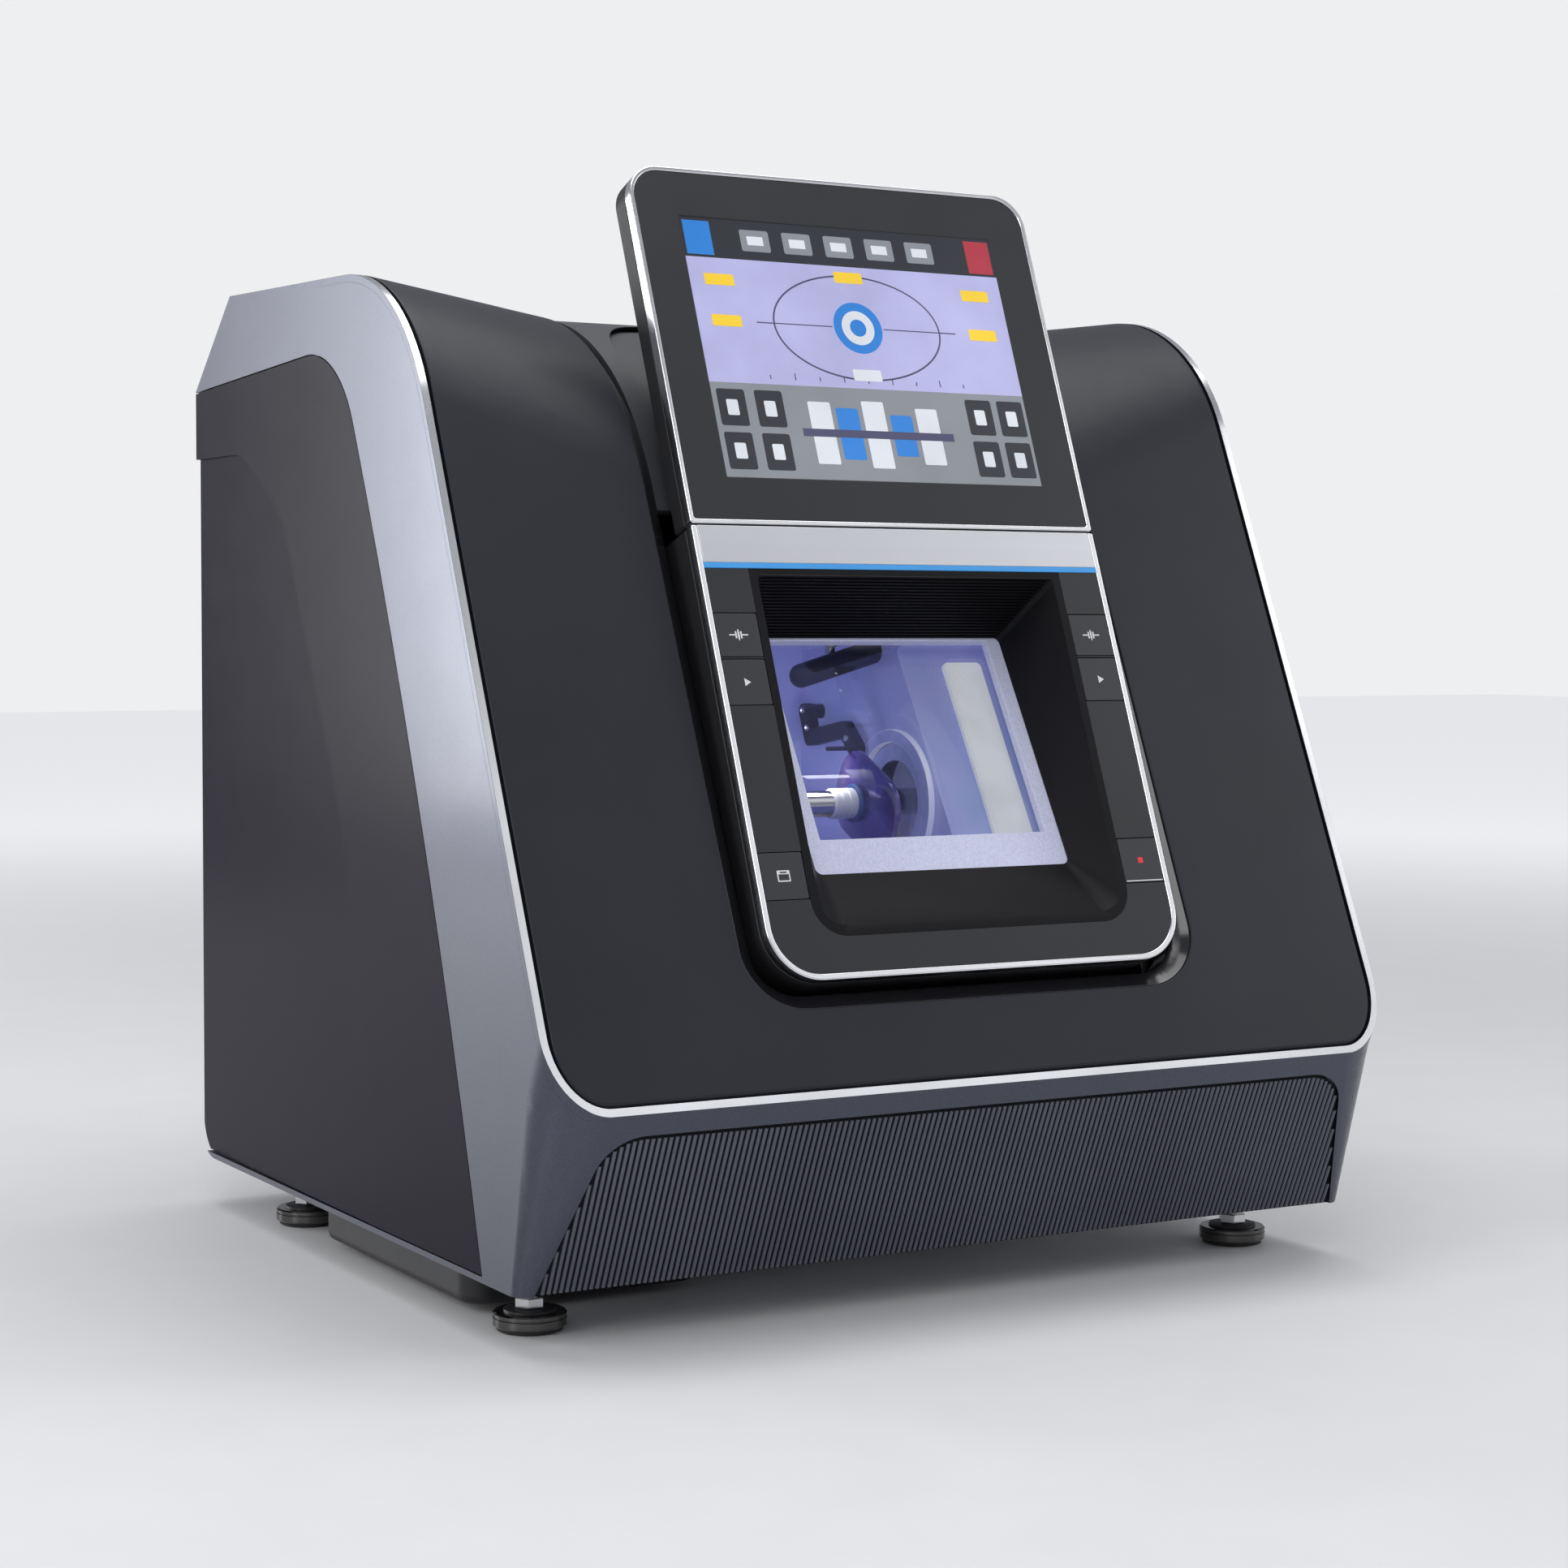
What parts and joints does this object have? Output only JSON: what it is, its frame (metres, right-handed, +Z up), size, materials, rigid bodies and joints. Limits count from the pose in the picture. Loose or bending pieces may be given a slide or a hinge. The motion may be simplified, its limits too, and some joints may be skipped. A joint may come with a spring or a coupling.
{
  "type": "optical lens edger",
  "caption": "Table-top lens edger: sloping touch display on a fixed tower with keys and a chamber window, dished front cover, wraparound housing on levelling feet.",
  "frame": {"origin": "on the floor plane, under the middle of the body", "axes": "+X to the right seen from the front, +Y from the front to the rear, +Z up"},
  "size_m": [0.5, 0.488, 0.5859],
  "materials": {
    "satin_charcoal": "satin",
    "gunmetal": "satin",
    "black_plastic": "matte",
    "gloss_black": "gloss",
    "silver_trim": "satin",
    "brushed_metal": "brushed",
    "strip_blue": "satin",
    "key_grey": "matte",
    "screen_glass": "gloss",
    "frosted_white": "satin",
    "clear_glass": "clear",
    "chamber_lilac": "satin",
    "lamp_white": "satin",
    "machined_aluminium": "machined",
    "polished_steel": "polished",
    "wheel_grit": "rough"
  },
  "bodies": {
    "base": {"wraparound_housing": "gunmetal", "front_ribbed_panel": "black_plastic", "cover_trim": "silver_trim", "front_cover": "satin_charcoal", "slot_liner": "gloss_black", "centre_panel": "satin_charcoal", "top_cover": "satin_charcoal", "side_panel_left": "black_plastic", "side_panel_right": "black_plastic", "rear_panel": "satin_charcoal", "rear_panel_screws": "polished_steel", "chassis": "machined_aluminium", "pump_box": "black_plastic", "tower_rim": "silver_trim", "tower_housing": "black_plastic", "tower_fascia": "gloss_black", "recess_insert": "black_plastic", "blue_strip": "strip_blue", "brushed_band": "brushed_metal", "display_hinge_brackets": "machined_aluminium", "door_rails": "machined_aluminium", "door_motor": "black_plastic", "chamber_tub": "chamber_lilac", "chamber_lamp": "lamp_white", "spray_bar": "gloss_black", "spray_nozzle": "polished_steel", "pivot_shaft": "polished_steel", "spindle_housing": "machined_aluminium", "grinding_motor": "black_plastic", "fan_frame": "black_plastic", "power_inlet": "black_plastic"},
    "display": {"display_rim": "silver_trim", "display_bezel": "gloss_black", "touch_screen": "screen_glass", "display_back": "black_plastic"},
    "door": {"door_frame": "frosted_white", "door_pane": "clear_glass"},
    "door_drive": {"door_screw": "polished_steel"},
    "slider": {"carriage_slider": "machined_aluminium"},
    "yoke": {"carriage_yoke": "machined_aluminium"},
    "quill": {"clamp_quill": "polished_steel"},
    "right_shaft": {"lens_shaft_right": "polished_steel"},
    "left_shaft": {"lens_shaft_left": "polished_steel", "lens_adapter": "gloss_black", "lens": "clear_glass"},
    "feeler": {"feeler_arm": "polished_steel"},
    "spindle": {"wheel_spindle": "polished_steel", "grinding_wheels": "wheel_grit"},
    "fan": {"fan_rotor": "black_plastic"},
    "switch": {"power_switch": "gloss_black"},
    "foot_front_left_body": {"foot_front_left": "polished_steel"},
    "foot_front_right_body": {"foot_front_right": "polished_steel"},
    "foot_rear_left_body": {"foot_rear_left": "polished_steel"},
    "foot_rear_right_body": {"foot_rear_right": "polished_steel"},
    "key_clamp_left_body": {"key_clamp_left": "key_grey"},
    "key_clamp_right_body": {"key_clamp_right": "key_grey"},
    "key_start_left_body": {"key_start_left": "key_grey"},
    "key_start_right_body": {"key_start_right": "key_grey"},
    "key_door_body": {"key_door": "key_grey"},
    "key_stop_body": {"key_stop": "key_grey"}
  },
  "joints": [
    {"name": "display_tilt", "type": "hinge", "parent": "base", "child": "display", "pos_m": [0, -0.10708, 0.39344], "axis": [-1, 0, 0], "range_deg": [0, 10]},
    {"name": "door_slide", "type": "slide", "parent": "base", "child": "door", "axis": [0, 0.5051, 0.8631], "range_m": [0, 0.128]},
    {"name": "door_screw_turn", "type": "hinge", "parent": "base", "child": "door_drive", "pos_m": [0.098, -0.18509, 0.21733], "axis": [0, 0.5051, 0.8631], "range_deg": [-60, 2400]},
    {"name": "carriage_shift", "type": "slide", "parent": "base", "child": "slider", "axis": [1, 0, 0], "range_m": [-0.012, 0.012]},
    {"name": "carriage_swing", "type": "hinge", "parent": "slider", "child": "yoke", "pos_m": [0, 0.056, 0.33], "axis": [1, 0, 0], "range_deg": [-2.5, 2.5]},
    {"name": "clamp_slide", "type": "slide", "parent": "yoke", "child": "quill", "axis": [1, 0, 0], "range_m": [0, 0.015]},
    {"name": "right_shaft_turn", "type": "hinge", "parent": "quill", "child": "right_shaft", "pos_m": [0.05, -0.105, 0.251], "axis": [1, 0, 0], "continuous": true},
    {"name": "left_shaft_turn", "type": "hinge", "parent": "yoke", "child": "left_shaft", "pos_m": [-0.06, -0.105, 0.251], "axis": [1, 0, 0], "continuous": true},
    {"name": "feeler_swing", "type": "hinge", "parent": "base", "child": "feeler", "pos_m": [0.014, -0.026, 0.2975], "axis": [1, 0, 0], "range_deg": [-4, 8]},
    {"name": "wheel_turn", "type": "hinge", "parent": "base", "child": "spindle", "pos_m": [0, -0.076, 0.153], "axis": [1, 0, 0], "continuous": true},
    {"name": "fan_turn", "type": "hinge", "parent": "base", "child": "fan", "pos_m": [0.118, 0.228, 0.33], "axis": [0, 1, 0], "continuous": true},
    {"name": "switch_rock", "type": "hinge", "parent": "base", "child": "switch", "pos_m": [-0.165, 0.235, 0.13], "axis": [1, 0, 0], "range_deg": [0, 12]},
    {"name": "foot_front_left_turn", "type": "hinge", "parent": "base", "child": "foot_front_left_body", "pos_m": [-0.2177, -0.149, 0.006], "axis": [0, 0, 1], "continuous": true},
    {"name": "foot_front_right_turn", "type": "hinge", "parent": "base", "child": "foot_front_right_body", "pos_m": [0.2177, -0.149, 0.006], "axis": [0, 0, 1], "continuous": true},
    {"name": "foot_rear_left_turn", "type": "hinge", "parent": "base", "child": "foot_rear_left_body", "pos_m": [-0.2177, 0.15, 0.006], "axis": [0, 0, 1], "continuous": true},
    {"name": "foot_rear_right_turn", "type": "hinge", "parent": "base", "child": "foot_rear_right_body", "pos_m": [0.2177, 0.15, 0.006], "axis": [0, 0, 1], "continuous": true},
    {"name": "key_clamp_left_press", "type": "slide", "parent": "base", "child": "key_clamp_left_body", "axis": [0, 0.9306, -0.366], "range_m": [0, 0.0012], "stiffness_N_per_m": 900, "springref_m": -0.0006},
    {"name": "key_clamp_right_press", "type": "slide", "parent": "base", "child": "key_clamp_right_body", "axis": [0, 0.9306, -0.366], "range_m": [0, 0.0012], "stiffness_N_per_m": 900, "springref_m": -0.0006},
    {"name": "key_start_left_press", "type": "slide", "parent": "base", "child": "key_start_left_body", "axis": [0, 0.9306, -0.366], "range_m": [0, 0.0012], "stiffness_N_per_m": 900, "springref_m": -0.0006},
    {"name": "key_start_right_press", "type": "slide", "parent": "base", "child": "key_start_right_body", "axis": [0, 0.9306, -0.366], "range_m": [0, 0.0012], "stiffness_N_per_m": 900, "springref_m": -0.0006},
    {"name": "key_door_press", "type": "slide", "parent": "base", "child": "key_door_body", "axis": [0, 0.9306, -0.366], "range_m": [0, 0.0012], "stiffness_N_per_m": 900, "springref_m": -0.0006},
    {"name": "key_stop_press", "type": "slide", "parent": "base", "child": "key_stop_body", "axis": [0, 0.9306, -0.366], "range_m": [0, 0.0012], "stiffness_N_per_m": 900, "springref_m": -0.0006}
  ],
  "couplings": [
    {"joint": "door_screw_turn", "follows": "door_slide", "rad_per_m": 314.16},
    {"joint": "right_shaft_turn", "follows": "left_shaft_turn", "ratio": 1}
  ]
}
